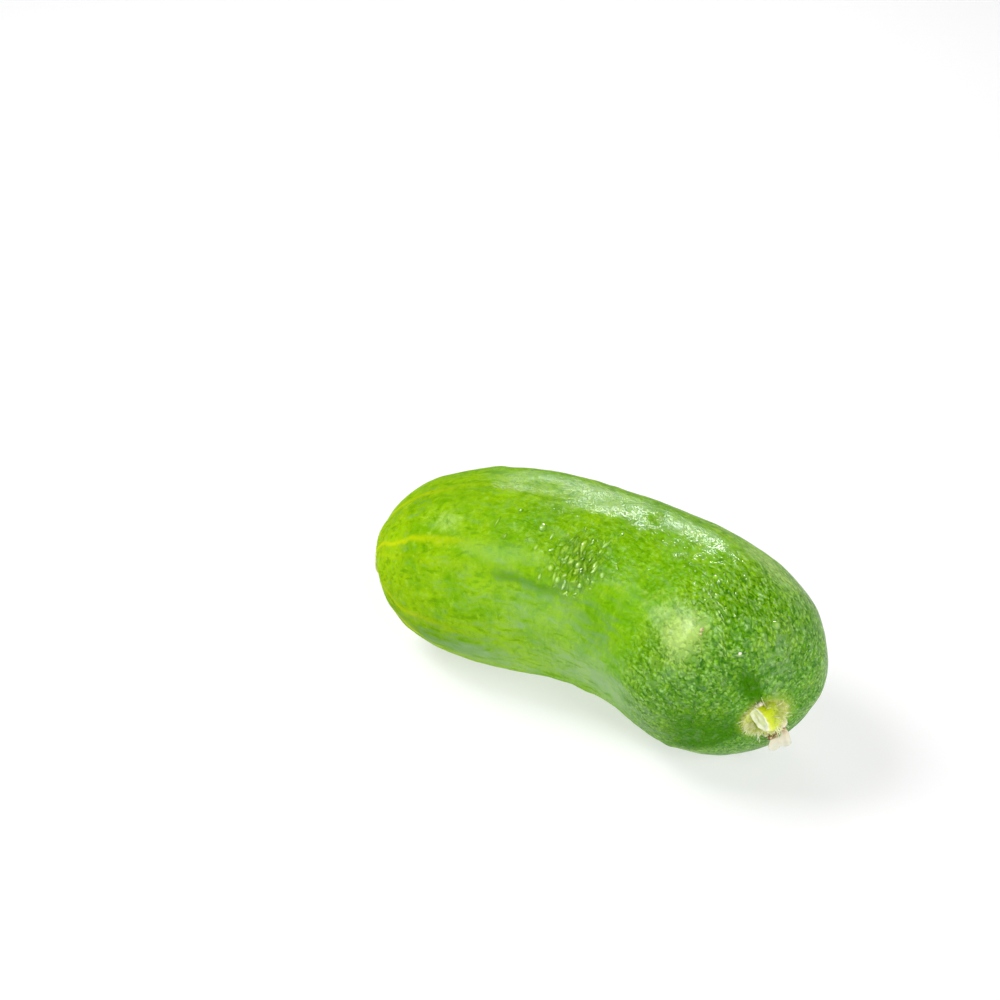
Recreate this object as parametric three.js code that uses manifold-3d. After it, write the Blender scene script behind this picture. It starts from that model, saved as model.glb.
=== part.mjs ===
// A small snack cucumber lying on its side, as picked.
//
// Millimetres, +Z up. The origin is on the table, under the middle of the fruit. The fruit runs
// from its blossom end at -X to its stem end at +X, and bends in plan like a shallow arch.
// Three solids: the fruit, the hairy stump of its stalk, and a dry scrap of torn stalk skin.

import * as THREE from "three";
import { mergeVertices } from "three/addons/utils/BufferGeometryUtils.js";
import Module from "manifold-3d";

const wasm = await Module();
wasm.setup();

// ---- Driving dimensions ----

// The spine is one cubic curve from tip to tip: its four control points.
const SPINE = [
  [-44.7, -10.9, 16.4],
  [-13.1, 5.1, 20.0],
  [18.1, 7.2, 22.4],
  [42.0, -10.5, 15.4],
];

// The girth follows a second cubic along the spine: the radius at its four control points.
const GIRTH = [24.7, 18.2, 16.8, 22.8];

// How blunt each end is: 2 would be an ellipse, and a larger power is blunter.
const BLOSSOM_BLUNTNESS = 2.7;
const STEM_BLUNTNESS = 4.7;

const FRUIT_SIDES = 50;
const FRUIT_RINGS = 44;

const RIBS = { count: 10, height: 0.15 };
const LOBES = { count: 3, height: 0.2, turn: 0.6 };

const WARTS = { count: 34, radius: 1.3, height: 0.35, sides: 7, first: 0.07, last: 0.95, seed: 71 };

const STEM_DIMPLE = { depth: 0.6, radius: 6.5 };

// The ring-shaped corky scar where the flower dropped off.
const SCAR = { radius: 2.7, rim: 0.35, pit: 0.45, root: 1.0, sides: 20 };

// The skin flattens where it would dip below the top of the table, which is at height 0.
const TABLE = { across: 200, thickness: 20 };

const GAP = 0.3;

const STUB = {
  rootRadius: 2.7,
  rootDepth: 2.6,
  flareRadius: 3.2,
  neckRadius: 2.3,
  faceRadius: 1.8,
  height: 2.1,
  angles: 5,
  angleDepth: 0.16,
  leanLeft: 0.9,
  leanUp: 0.7,
  sides: 20,
};

const HAIRS = { count: 64, length: 2.0, root: 0.24, sunk: 0.5, lean: 0.75, seed: 19 };

// The scrap's middle in the stem end's frame, and how it turns and tips there.
const SCRAP = { thickness: 0.6, curl: 0.07, right: 2.2, down: 4.3, out: 1.9, turn: 0.5, tip: -0.5 };

const WELD = 1e-4;
const QUARTER_TURN = Math.PI / 2;

// ---- Small tools ----

// A seeded draw from 0 to 1, so that every build places the same warts and hairs.
function seededDraw(seed) {
  let state = seed;
  return () => {
    state = (state * 16807) % 2147483647;
    return state / 2147483647;
  };
}

// A closed three.js geometry as a solid that can be joined and cut.
function solidOf(geometry) {
  const bare = geometry.clone();
  bare.deleteAttribute("normal");
  bare.deleteAttribute("uv");
  const welded = mergeVertices(bare, WELD);
  const index = welded.index.array;
  const corners = [];
  for (let i = 0; i < index.length; i += 3) {
    const [a, b, c] = index.slice(i, i + 3);
    if (a !== b && b !== c && c !== a) corners.push(a, b, c);
  }
  return new wasm.Manifold(
    new wasm.Mesh({
      numProp: 3,
      vertProperties: new Float32Array(welded.attributes.position.array),
      triVerts: new Uint32Array(corners),
    }),
  );
}

function meshOf(solid, name, material) {
  const { vertProperties, triVerts } = solid.getMesh();
  const geometry = new THREE.BufferGeometry();
  geometry.setAttribute("position", new THREE.BufferAttribute(vertProperties, 3));
  geometry.setIndex(new THREE.BufferAttribute(triVerts, 1));
  geometry.computeVertexNormals();
  const mesh = new THREE.Mesh(geometry, material);
  mesh.name = name;
  return mesh;
}

function movePoints(geometry, move) {
  const position = geometry.attributes.position;
  const point = new THREE.Vector3();
  for (let i = 0; i < position.count; i += 1) {
    point.fromBufferAttribute(position, i);
    move(point);
    position.setXYZ(i, point.x, point.y, point.z);
  }
  return geometry;
}

// ---- The fruit's surface ----

const UP = new THREE.Vector3(0, 0, 1);
const spine = new THREE.CubicBezierCurve3(...SPINE.map((point) => new THREE.Vector3(...point)));
const girth = new THREE.CubicBezierCurve(...GIRTH.map((radius, i) => new THREE.Vector2(i / 3, radius)));

// The fruit's girth at a place along it, from 0 on a tip to 1 where it is full.
function fullness(along) {
  const reach = 2 * along - 1;
  const bluntness = reach < 0 ? BLOSSOM_BLUNTNESS : STEM_BLUNTNESS;
  return Math.sqrt(Math.max(0, 1 - Math.abs(reach) ** bluntness));
}

// The centre, frame and radius of the ring at a place along the fruit, 0 at the blossom tip and
// 1 at the stem tip. Every ring stands square to the spine.
function ringAt(along) {
  const centre = spine.getPoint(along);
  const forward = spine.getTangent(along);
  const right = new THREE.Vector3().crossVectors(forward, UP).normalize();
  const over = new THREE.Vector3().crossVectors(right, forward);
  return { centre, forward, right, over, radius: girth.getPoint(along).y };
}

// Relief of the skin: three broad lobes and ten faint ribs, which fade out towards both tips.
function relief(angle) {
  const lobes = LOBES.height * Math.cos(LOBES.count * angle + LOBES.turn);
  return lobes + RIBS.height * Math.cos(RIBS.count * angle);
}

// A point of the skin. The angle goes round from the right-hand side (0) over the top.
function skinPoint(along, angle) {
  const { centre, forward, right, over, radius } = ringAt(along);
  const full = fullness(along);
  const reach = (radius + relief(angle) * full) * full;
  const point = centre.clone();
  point.addScaledVector(right, Math.cos(angle) * reach);
  point.addScaledVector(over, Math.sin(angle) * reach);
  if (along > 0.5) {
    const fromTip = reach / STEM_DIMPLE.radius;
    point.addScaledVector(forward, -STEM_DIMPLE.depth * Math.exp(-fromTip * fromTip));
  }
  return point;
}

// A frame on the skin with its Z pointing straight out, for what grows there.
function skinFrame(along, angle) {
  const step = 1e-3;
  const point = skinPoint(along, angle);
  const lengthwise = skinPoint(along + step, angle).sub(point);
  const around = skinPoint(along, angle + step).sub(point);
  const outward = new THREE.Vector3().crossVectors(lengthwise, around).normalize();
  const across = new THREE.Vector3().crossVectors(lengthwise, outward).normalize();
  const onward = new THREE.Vector3().crossVectors(outward, across);
  return new THREE.Matrix4().makeBasis(across, onward, outward).setPosition(point);
}

// The frame on a tip, as seen from outside: X to the right, Y up, and Z straight out of the fruit.
function tipFrame(along, outward) {
  const right = new THREE.Vector3().crossVectors(UP, outward).normalize();
  const upward = new THREE.Vector3().crossVectors(outward, right);
  return new THREE.Matrix4().makeBasis(right, upward, outward).setPosition(skinPoint(along, 0));
}

const blossomFrame = tipFrame(0, spine.getTangent(0).negate());
const stemFrame = tipFrame(1, spine.getTangent(1));

// ---- The fruit ----

function fruitBody() {
  const profile = [];
  for (let i = 0; i <= FRUIT_RINGS; i += 1) {
    const along = (1 - Math.cos((Math.PI * i) / FRUIT_RINGS)) / 2;
    profile.push(new THREE.Vector2(fullness(along), along));
  }
  const body = new THREE.LatheGeometry(profile, FRUIT_SIDES);
  movePoints(body, (point) => point.copy(skinPoint(point.y, Math.atan2(point.z, point.x))));
  return solidOf(body);
}

function wart(along, angle, size) {
  const dome = new THREE.SphereGeometry(WARTS.radius * size, WARTS.sides, 4);
  dome.rotateX(QUARTER_TURN);
  dome.scale(1, 1, WARTS.height / WARTS.radius);
  dome.applyMatrix4(skinFrame(along, angle));
  return solidOf(dome);
}

// Warts wind round the fruit in a spiral of even spacing, each nudged by a seeded draw.
function warts() {
  const draw = seededDraw(WARTS.seed);
  const goldenAngle = Math.PI * (3 - Math.sqrt(5));
  const domes = [];
  for (let i = 0; i < WARTS.count; i += 1) {
    const share = (i + draw()) / WARTS.count;
    const along = WARTS.first + (WARTS.last - WARTS.first) * share;
    const angle = i * goldenAngle + 0.5 * (draw() - 0.5);
    const size = 0.75 + 0.5 * draw();
    const underneath = Math.sin(angle) < -0.8;
    if (!underneath) domes.push(wart(along, angle, size));
  }
  return domes;
}

function blossomScar() {
  const { radius, rim, pit, root, sides } = SCAR;
  const profile = [
    new THREE.Vector2(0, -root),
    new THREE.Vector2(radius * 0.8, -root),
    new THREE.Vector2(radius, 0),
    new THREE.Vector2(radius * 0.82, rim),
    new THREE.Vector2(radius * 0.62, rim * 0.8),
    new THREE.Vector2(radius * 0.3, rim - pit),
    new THREE.Vector2(0, rim - pit),
  ];
  const scar = new THREE.LatheGeometry(profile, sides);
  scar.rotateX(QUARTER_TURN);
  scar.applyMatrix4(blossomFrame);
  return solidOf(scar);
}

// The plain round recess that the stalk's root stands in.
function stemRecess() {
  const depth = STUB.rootDepth + GAP;
  const recess = new THREE.CylinderGeometry(STUB.rootRadius + GAP, STUB.rootRadius + GAP, 2 * depth, STUB.sides);
  recess.rotateX(QUARTER_TURN);
  recess.applyMatrix4(stemFrame);
  return solidOf(recess);
}

function table() {
  const slab = new THREE.BoxGeometry(TABLE.across, TABLE.across, TABLE.thickness);
  slab.translate(0, 0, -TABLE.thickness / 2);
  return solidOf(slab);
}

function fruitSolid() {
  let fruit = fruitBody().add(blossomScar());
  for (const dome of warts()) fruit = fruit.add(dome);
  return fruit.subtract(stemRecess()).subtract(table());
}

// ---- The stump of the stalk ----

function stubBody() {
  const { rootRadius, rootDepth, flareRadius, neckRadius, faceRadius, height } = STUB;
  const profile = [
    new THREE.Vector2(0, -rootDepth),
    new THREE.Vector2(rootRadius, -rootDepth),
    new THREE.Vector2(rootRadius, GAP),
    new THREE.Vector2(flareRadius, 2 * GAP),
    new THREE.Vector2(flareRadius * 0.9, 0.5 * height),
    new THREE.Vector2(neckRadius, 0.8 * height),
    new THREE.Vector2(faceRadius, height),
    new THREE.Vector2(faceRadius * 0.55, height - 0.25),
    new THREE.Vector2(0, height - 0.3),
  ];
  const body = new THREE.LatheGeometry(profile, STUB.sides);
  body.rotateX(QUARTER_TURN);
  movePoints(body, (point) => {
    const above = Math.max(0, point.z) / height;
    const turn = Math.atan2(point.y, point.x);
    const swell = 1 + STUB.angleDepth * above * Math.cos(STUB.angles * turn);
    point.x = point.x * swell - STUB.leanLeft * above * above;
    point.y = point.y * swell + STUB.leanUp * above * above;
  });
  return solidOf(body);
}

// One stiff hair: a three-sided spike that leans out from the stump's flank.
function hair(turn, level, length, sideways) {
  const spike = new THREE.ConeGeometry(HAIRS.root, length + HAIRS.sunk, 3);
  spike.translate(0, (length + HAIRS.sunk) / 2 - HAIRS.sunk, 0);
  const flank = THREE.MathUtils.lerp(STUB.flareRadius, STUB.neckRadius, level);
  const outward = new THREE.Vector3(Math.cos(turn), Math.sin(turn), 0);
  const foot = outward.clone().multiplyScalar(flank * 0.93);
  foot.z = THREE.MathUtils.lerp(3 * GAP, 0.75 * STUB.height, level);
  const aim = outward.clone().applyAxisAngle(UP, sideways).setZ(HAIRS.lean * (0.4 + level));
  spike.applyQuaternion(new THREE.Quaternion().setFromUnitVectors(new THREE.Vector3(0, 1, 0), aim.normalize()));
  spike.translate(foot.x, foot.y, foot.z);
  return solidOf(spike);
}

function hairs() {
  const draw = seededDraw(HAIRS.seed);
  const spikes = [];
  for (let i = 0; i < HAIRS.count; i += 1) {
    const turn = ((i + 0.6 * draw()) / HAIRS.count) * 2 * Math.PI;
    const level = draw();
    const length = HAIRS.length * (0.6 + 0.5 * draw());
    const sideways = 0.8 * (draw() - 0.5);
    spikes.push(hair(turn, level, length, sideways));
  }
  return spikes;
}

// The scrap hangs at the stump's lower right, in the direction seen from outside.
function scrapSpace(margin) {
  const { thickness, curl, right, down, out, turn, tip } = SCRAP;
  const outline = new THREE.Shape();
  outline.moveTo(-1.1, 1.9);
  outline.quadraticCurveTo(-2.2, 0.9, -2.5, -0.6);
  outline.lineTo(-1.8, -2.0);
  outline.lineTo(-0.9, -1.7);
  outline.lineTo(0.1, -2.6);
  outline.lineTo(1.0, -1.9);
  outline.quadraticCurveTo(2.3, -0.4, 1.7, 1.2);
  outline.lineTo(0.4, 2.1);
  const flake = new THREE.ExtrudeGeometry(outline, {
    depth: thickness + 2 * margin,
    bevelEnabled: false,
    curveSegments: 4,
  });
  flake.translate(0, 0, -margin);
  flake.scale(1 + margin / 2, 1 + margin / 2, 1);
  movePoints(flake, (point) => {
    point.z += curl * (point.x * point.x + 0.5 * point.y * point.y);
  });
  flake.rotateX(tip);
  flake.rotateZ(turn);
  flake.translate(right, -down, out);
  return solidOf(flake);
}

// The scrap's space cuts a few hairs through, and what falls off is dropped.
function stubSolid() {
  let stub = stubBody();
  for (const spike of hairs()) stub = stub.add(spike);
  const pieces = stub.subtract(scrapSpace(GAP)).decompose();
  return pieces.reduce((largest, piece) => (piece.volume() > largest.volume() ? piece : largest));
}

// ---- The whole ----

const skin = new THREE.MeshStandardMaterial({ color: "#5e9e1e", roughness: 0.38, metalness: 0 });
const stalk = new THREE.MeshStandardMaterial({ color: "#c4cf62", roughness: 0.6, metalness: 0 });
const husk = new THREE.MeshStandardMaterial({ color: "#e9e6d2", roughness: 0.8, metalness: 0 });

const cucumber = new THREE.Group();
cucumber.add(meshOf(fruitSolid(), "fruit", skin));

const stemEnd = new THREE.Group();
stemEnd.applyMatrix4(stemFrame);
stemEnd.add(meshOf(stubSolid(), "stem_stub", stalk));
stemEnd.add(meshOf(scrapSpace(0), "stalk_scrap", husk));
cucumber.add(stemEnd);

export default cucumber;
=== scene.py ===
"""A small snack cucumber lying on its side, as picked.

Metres, +Z up, on a table at height 0. The fruit runs from its blossom end at -X to its stem end
at +X. Shapes are worked out in millimetres and scaled to metres when each mesh is finished.
"""

import math
import random
from functools import lru_cache

import bmesh
import bpy
from mathutils import Matrix, Vector, kdtree, noise


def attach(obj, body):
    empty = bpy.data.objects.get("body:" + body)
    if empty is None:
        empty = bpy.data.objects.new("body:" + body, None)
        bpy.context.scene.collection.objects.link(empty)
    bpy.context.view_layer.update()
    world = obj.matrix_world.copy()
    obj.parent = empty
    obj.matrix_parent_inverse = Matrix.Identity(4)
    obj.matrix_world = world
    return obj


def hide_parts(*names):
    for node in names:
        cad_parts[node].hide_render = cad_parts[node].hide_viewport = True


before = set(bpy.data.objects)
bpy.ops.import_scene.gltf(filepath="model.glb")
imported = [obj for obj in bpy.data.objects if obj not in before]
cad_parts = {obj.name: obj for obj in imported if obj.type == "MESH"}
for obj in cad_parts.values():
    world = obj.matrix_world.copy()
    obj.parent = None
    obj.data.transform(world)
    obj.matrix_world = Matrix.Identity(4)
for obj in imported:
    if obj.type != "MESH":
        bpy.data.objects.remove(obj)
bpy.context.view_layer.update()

MM = 0.001
UP = Vector((0, 0, 1))

# ---- The fruit's shape, in millimetres, the same as its solid ----

# Four control points of the spine, from the blossom tip to the stem tip.
SPINE = [Vector(point) for point in (
    (-44.7, -10.9, 16.4), (-13.1, 5.1, 20.0), (18.1, 7.2, 22.4), (42.0, -10.5, 15.4))]
# The radius at four control points along the spine.
GIRTH = (24.7, 18.2, 16.8, 22.8)
LENGTH = 93.0
BLOSSOM_BLUNTNESS = 2.7
STEM_BLUNTNESS = 4.7
RIBS = {"count": 10, "height": 0.15}
LOBES = {"count": 3, "height": 0.2, "turn": 0.6}
STEM_DIMPLE = {"depth": 0.6, "radius": 6.5}

SKIN_SIDES = 240
SKIN_RINGS = 380

# Low warts, which are left out underneath.
WARTS = {"count": 34, "radius": 2.86, "height": 0.21, "first": 0.07, "last": 0.95, "seed": 71}
WARTLESS_BELOW = -0.8

# Uneven growth of the skin: wavelength along, wavelength around, and height of each layer.
SKIN_WAVES = ((16.0, 9.0, 0.36), (7.0, 4.2, 0.18), (3.0, 2.2, 0.07), (1.7, 1.5, 0.035))
# How far apart in the noise the layers are read, so that they don't line up.
WAVES_APART = 31.7

# Changes of tone at listed spots. Each spot has its place along, angle in degrees, reach along and
# reach round in millimetres, and strength.
TONES = {
    # The pale spots are partly paler skin and partly a painted highlight: the soft glow of the front light on
    # the blossom half and on the shoulder.
    "pale": (
        (0.18, 57, 3.0, 2.0, 0.4), (0.863, 46, 4.4, 5.2, 0.72), (0.80, 44, 7.0, 4.0, 0.35),
        (0.80, 118, 7.0, 4.0, 0.5), (0.33, 150, 8.0, 5.0, 0.5), (0.70, 205, 8.0, 5.0, 0.5),
    ),
    # The deep spots are partly darker skin and dark strokes, and partly painted shade: low down by the stem
    # end, under the blossom half and over its top.
    "deep": (
        (0.988, 62, 1.8, 4.2, 1.3), (0.15, 80, 10.0, 6.0, 0.25), (0.35, 28, 6.0, 1.2, 0.55),
        (0.45, 26, 6.0, 1.2, 0.4), (0.60, 14, 14.0, 6.0, 0.3), (0.16, -26, 12.0, 4.0, 0.55),
        (0.28, -26, 10.0, 4.0, 0.2), (0.97, -10, 6.0, 8.5, 0.75), (0.97, -36, 9.0, 4.5, 0.5),
        (0.62, 160, 14.0, 6.0, 0.4), (0.93, 230, 6.0, 8.0, 0.5),
    ),
    # The bloom spots are partly the skin's wax bloom and partly a painted reflection of the pale floor on the
    # lower side.
    "bloom": (
        (0.97, 98, 5.0, 7.0, 0.25), (0.24, -30, 20.0, 4.5, 0.45), (0.45, 12, 20.0, 7.0, 0.22),
        (0.67, -17, 18.0, 5.5, 0.65), (0.45, 205, 20.0, 7.0, 0.5), (0.90, 30, 6.0, 6.0, 0.12),
    ),
}

# The most pimpled patch: place along, angle in degrees, and reach along and round in millimetres.
PIMPLED = (0.925, 40, 3.5, 7.0)
# How pimply the skin is at the least, on the upper side, and in addition on the pimpled patch,
# and how much of that a pale patch, partly a painted highlight, takes away.
PIMPLINESS = {"least": 0.05, "upper": 0.32, "patch": 0.22, "smoothed": 0.75}

# A patch of crumpled skin: its place, reach along, reach round in degrees and steepness of its
# edge, and the height, wavelengths, crests and clefts of its folds.
CRUMPLE = {
    "along": 0.512, "angle": 45, "reach": 0.075, "spread": 16, "steepness": 1.4,
    "height": 0.34, "lengthwise": 1.5, "across": 2.6, "crest": 0.6, "cleft": 2.4,
}

# Low swellings and hollows: place along, angle in degrees, reach along, reach round and height.
SWELLS = (
    (0.53, 65, 8.0, 7.5, 0.80), (0.50, 103, 6.0, 5.0, -0.45), (0.69, 73, 6.0, 5.5, -0.33),
    (0.37, 77, 7.5, 4.5, -0.60), (0.86, 40, 5.0, 6.0, 0.20), (0.42, 20, 12.0, 6.0, 0.25),
    (0.35, 200, 14.0, 7.0, 0.4), (0.70, 150, 12.0, 7.0, 0.35),
)

# Folds of skin that run into the stalk, and the finer puckers round the blossom scar.
STEM_FOLDS = {"count": 10, "height": 0.16, "first": 2.6, "last": 11.0}
BLOSSOM_PUCKERS = {"count": 17, "height": 0.09, "first": 2.2, "last": 6.5}
FOLD_SWAY = 0.6

# Pale stripes that run back from the blossom scar: each one's angle in degrees and its strength.
STRIPES = ((-150, 0.7), (-110, 0.9), (-67, 0.8), (-36, 0.9), (-10, 0.6), (31, 0.25),
           (43, 1.0), (84, 0.6), (121, 1.0), (158, 0.8))
STRIPE_WIDTH = 3.4
# Round the scar the stripes curl: by how much in radians, and how far along the fruit.
STRIPE_CURL = {"turn": 0.25, "reach": 0.05}

# Single beads: along, angle in degrees, radius, stretch and its turn from lengthwise in degrees.
LONE_BEADS = (
    (0.292, 58, 0.30, 4.2, 75), (0.396, 59, 0.85, 1.1, 0), (0.333, 67, 0.42, 1.0, 0),
    (0.926, 97, 0.85, 1.0, 0), (0.800, 79, 0.55, 1.0, 0), (0.815, 78, 0.50, 1.0, 0),
    (0.840, 72, 0.55, 1.0, 0), (0.947, 66, 0.36, 3.4, 60), (0.585, 44, 0.55, 1.2, 60),
    (0.40, 47, 0.42, 1.8, 70), (0.32, 50, 0.36, 2.0, 80), (0.452, 38, 0.62, 1.2, 70),
    (0.478, 33, 0.60, 1.3, 80), (0.498, 31, 0.42, 2.6, 80), (0.515, 44, 0.60, 1.3, 70),
    (0.540, 34, 0.60, 1.2, 60), (0.505, 56, 0.50, 1.6, 70), (0.430, 32, 0.40, 2.0, 80),
)
# A cluster of beads on the crumpled patch. Radius and stretch are ranges, and the turn is its
# mean and spread in degrees.
CLUSTER = {
    "count": 42, "along": 0.512, "angle": 45, "reach": 0.038, "spread": 9.5,
    "radius": (0.14, 0.38), "stretch": (1.0, 3.0), "turn": (75, 30), "seed": 5,
}
# A bowed row of fine beads over the shoulder, from one place to another, in three strands. Their
# turn is in radians, to either side, and what else is an angle is in degrees.
ROW = {
    "count": 22, "first": (0.79, 70), "last": (0.935, 58), "bow": 7, "strands": (-2.2, 0, 2.2),
    "jitter": 0.004, "radius": (0.16, 0.24), "stretch": (2.0, 4.5), "turn": 0.3, "seed": 31,
}
# Tiny beads strewn over the upper side by the stem end, and thinly over the whole upper half.
# The angles are in radians.
STREWN = (
    {"count": 40, "along": (0.66, 0.90), "angle": (math.radians(58), math.radians(96)),
     "radius": (0.13, 0.26), "stretch": (1.0, 2.0), "seed": 3},
    {"count": 40, "along": (0.05, 0.97), "angle": (-0.2, math.pi + 0.2),
     "radius": (0.12, 0.22), "stretch": (1.0, 1.6), "seed": 23},
)
BEAD_FLATNESS = 0.55

# What each vertex of the skin and of the beads carries, for the patterns.
SKIN_VECTORS = ("unbent_mm", "around", "tones")
SKIN_NUMBERS = ("from_blossom_mm", "from_stem_mm", "crumpled", "rugged")

# The corky scar where the flower dropped off.
SCAR = {"radius": 2.7, "height": 0.38, "root": 0.7, "sides": 96, "steps": 14, "roughness": 0.07}
# Its face starts this far above its wall, so that their rings don't merge.
SCAR_LIFT = 0.02
# Its pit and its groove: middle, depth and reach, with the middle and reach as shares of the radius.
SCAR_HOLLOWS = ((0.0, 0.30, 0.16), (0.55, 0.10, 0.07))
# Waves of the ragged edge: how close they are, how deep, and where in the noise they are read.
SCAR_EDGE = ((1.6, 0.07, 4.0), (6, 0.035, 9.0))

# The stump of the stalk, in the stem end's frame: right, up and out as seen from outside.
STUB_PATH = [Vector(point) for point in ((-0.5, 0.0, -1.2), (-0.4, 0.5, 1.2), (-2.5, 1.9, 1.7))]
STUB_FACE = Vector((-0.90, 0.08, 0.42))
STUB_RADII = (3.0, 3.9, 2.5, 2.1)
STUB_SIDES = 80
STUB_FLANK_STEPS = 22
STUB_FACE_STEPS = 12
STUB_ANGLES = {"count": 5, "depth": 0.07}
STUB_DISH = {"depth": 0.34, "middle": 0.10}
STUB_UNEVENNESS = 0.16
# The cut face is oval: its half-widths as shares of the radius, and the longer one's turn in radians.
STUB_OVAL = {"longer": 1.18, "shorter": 0.70, "turn": -0.45}

# Bands of hair round the stump: how many, between which turns in degrees, from which levels, length,
# thickness, and how dry. A hair is yellow-green at 0 and cream at 1.
HAIRS = (
    (700, (-180, 180), (0.00, 0.60), 1.2, 0.06, 0.35),
    (320, (130, 235), (0.00, 0.40), 1.6, 0.075, 0.15),
    (260, (215, 300), (0.00, 0.30), 1.75, 0.085, 1.0),
    (340, (110, 250), (0.35, 0.85), 1.3, 0.07, 0.6),
    (160, (-100, 90), (0.20, 0.80), 1.2, 0.07, 0.35),
    (60, (-180, 180), (0.25, 0.75), 2.3, 0.11, 0.9),
)
HAIR_SEED = 19
HAIR_STEPS = 5
# A hair's root, as a share of the stump's radius, and its tip, as a share of its own thickness.
HAIR_ROOT = 0.93
HAIR_TIP = 0.25
# Ranges of the draws: a hair's course sideways and outwards, and its length and droop as shares.
HAIR_SIDEWAYS = (-0.6, 0.6)
HAIR_OUTWARDS = (0.1, 0.9)
HAIR_LENGTHS = (0.5, 1.15)
HAIR_DROOPS = (-0.25, 0.45)

# The dry scrap: its place in the stem end's frame, turned and tipped in radians, its outline, and
# how it curls.
SCRAP = {"thickness": 0.14, "right": 2.5, "down": 5.1, "out": 1.9, "turn": 0.25, "tip": -0.5}
SCRAP_OUTLINE = {"half_width": 2.05, "narrowing": 0.55, "lower": -0.85, "lobes": 0.55,
                 "upper": 0.75, "strip": 2.2, "raggedness": 0.15}
SCRAP_SEGMENTS = 26
SCRAP_CURL = 0.10
SCRAP_UNEVENNESS = 0.16
# Creases down the scrap: how far right each one lies, its height and its reach.
SCRAP_CREASES = ((0.0, 0.22, 0.25), (1.4, 0.30, 0.35))

# Crumbs of torn stalk tissue: how many, their middle in the stem frame, reach, size, and how withered.
CRUMBS = (
    (12, (1.2, -3.4, 1.5), (0.8, 0.6, 0.4), 0.42, 1.0),
    (12, (2.5, -1.6, 1.3), (0.7, 1.2, 0.4), 0.46, 0.0),
    (7, (0.3, -3.6, 1.2), (0.9, 0.4, 0.3), 0.40, 0.1),
    (4, (-2.5, 4.3, 0.5), (0.5, 0.3, 0.1), 0.36, 0.0),
)
CRUMB_SEED = 8
CRUMB_LUMPS = {"depth": 0.5, "closeness": 1.7}
# Flecks of dry matter on the skin: place along, angle in degrees, size, and how withered.
FLECKS = ((0.876, 55, 0.42, 0.5), (0.881, 53, 0.28, 0.5), (0.946, 67, 0.36, -0.2))


# ---- The fruit's surface, in millimetres ----

def cubic(points, along):
    """The point at a share of the way along a cubic curve, for vectors and for numbers."""
    rest = 1 - along
    weights = (rest ** 3, 3 * rest * rest * along, 3 * rest * along * along, along ** 3)
    total = points[0] * weights[0]
    for point, weight in zip(points[1:], weights[1:]):
        total = total + point * weight
    return total


def spine_direction(along):
    rest = 1 - along
    steps = [far - near for near, far in zip(SPINE, SPINE[1:])]
    course = steps[0] * rest * rest + steps[1] * 2 * rest * along + steps[2] * along * along
    return course.normalized()


def fullness(along):
    """The share of its full girth that the fruit has, 0 on both tips."""
    reach = 2 * along - 1
    bluntness = BLOSSOM_BLUNTNESS if reach < 0 else STEM_BLUNTNESS
    return math.sqrt(max(0.0, 1 - abs(reach) ** bluntness))


@lru_cache(maxsize=None)
def ring_at(along):
    """Centre, direction, right-hand side, upper side, radius and fullness of one ring."""
    forward = spine_direction(along)
    right = forward.cross(UP).normalized()
    return cubic(SPINE, along), forward, right, right.cross(forward), cubic(GIRTH, along), fullness(along)


def ring_reach(along, angle):
    """Distance from the spine to the skin."""
    *_, radius, full = ring_at(along)
    lobes = LOBES["height"] * math.cos(LOBES["count"] * angle + LOBES["turn"])
    ribs = RIBS["height"] * math.cos(RIBS["count"] * angle)
    return (radius + (lobes + ribs) * full) * full


def skin_point(along, angle):
    """A point of the skin: the angle goes round from the right-hand side over the top."""
    centre, forward, right, over, _, _ = ring_at(along)
    reach = ring_reach(along, angle)
    point = centre + right * (math.cos(angle) * reach) + over * (math.sin(angle) * reach)
    if along > 0.5:
        point -= forward * (STEM_DIMPLE["depth"] * math.exp(-(reach / STEM_DIMPLE["radius"]) ** 2))
    return point


def skin_frame(along, angle):
    """A frame on the skin: X round the girth, Y lengthwise, Z straight out."""
    step = 1e-3
    point = skin_point(along, angle)
    lengthwise = skin_point(along + step, angle) - point
    around = skin_point(along, angle + step) - point
    outward = lengthwise.cross(around).normalized()
    if outward.dot(point - ring_at(along)[0]) < 0:
        outward.negate()
    across = lengthwise.cross(outward).normalized()
    return placed(across, outward.cross(across), outward, point)


def tip_frame(along, outward):
    """The frame on a tip as seen from outside: X to the right, Y up, Z out of the fruit."""
    right = UP.cross(outward).normalized()
    return placed(right, outward.cross(right), outward, skin_point(along, 0))


def placed(x_axis, y_axis, z_axis, origin):
    turned = Matrix((x_axis, y_axis, z_axis)).transposed()
    return Matrix.Translation(origin) @ turned.to_4x4()


def smooth_step(low, high, value):
    share = min(1.0, max(0.0, (value - low) / (high - low)))
    return share * share * (3 - 2 * share)


blossom_frame = tip_frame(0, -spine_direction(0))
stem_frame = tip_frame(1, spine_direction(1))


# ---- Mesh tools ----

def spun(profile, sides, axis):
    """A profile of points spun into a closed shell with merged poles."""
    bm = bmesh.new()
    corners = [bm.verts.new(point) for point in profile]
    for near, far in zip(corners, corners[1:]):
        bm.edges.new((near, far))
    bmesh.ops.spin(bm, geom=bm.verts[:] + bm.edges[:], cent=(0, 0, 0), axis=axis,
                   angle=2 * math.pi, steps=sides, use_merge=True)
    bmesh.ops.remove_doubles(bm, verts=bm.verts, dist=1e-6)
    bmesh.ops.recalc_face_normals(bm, faces=bm.faces)
    return bm


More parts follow.
